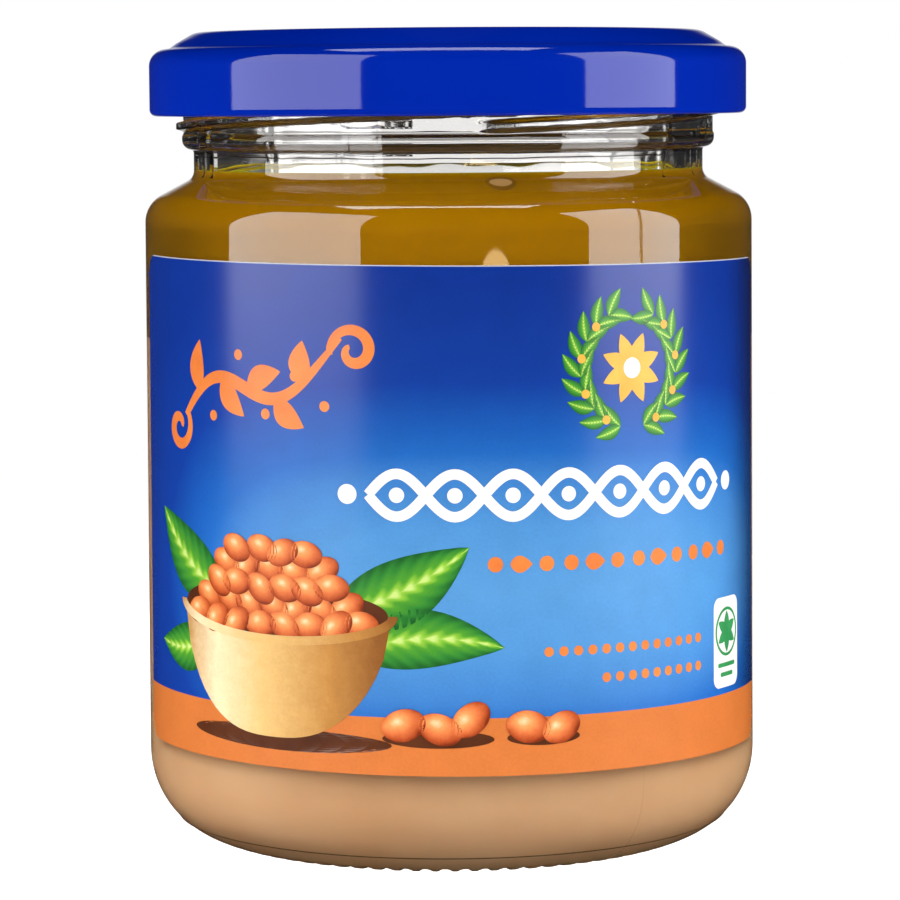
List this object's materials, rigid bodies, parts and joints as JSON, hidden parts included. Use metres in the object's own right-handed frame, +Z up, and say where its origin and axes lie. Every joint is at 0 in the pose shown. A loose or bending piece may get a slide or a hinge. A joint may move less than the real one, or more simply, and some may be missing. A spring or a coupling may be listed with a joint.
{
  "type": "peanut butter jar",
  "caption": "Shut round glass jar of settled peanut butter under a layer of oil, with a twist-off metal lid and a printed front paper label.",
  "frame": {"origin": "middle of the base, on the plane that the jar stands on", "axes": "+Z up along the jar's axis, -Y out of the middle of the label, +X to the right of the label as it is read"},
  "size_m": [0.0716, 0.0718, 0.0943],
  "materials": {
    "clear_glass": "clear soda-lime container glass, smooth and glossy, with faint mould waves",
    "blue_lacquer": "gloss stoving lacquer on tinplate",
    "peanut_butter": "smooth settled peanut paste, pale tan",
    "peanut_oil": "amber oil, slightly cloudy",
    "printed_paper": "offset print on coated paper with a satin varnish"
  },
  "bodies": {
    "root": {"glass_jar": "clear_glass", "lid": "blue_lacquer", "peanut_butter": "peanut_butter", "peanut_oil": "peanut_oil", "label": "printed_paper"}
  },
  "joints": []
}
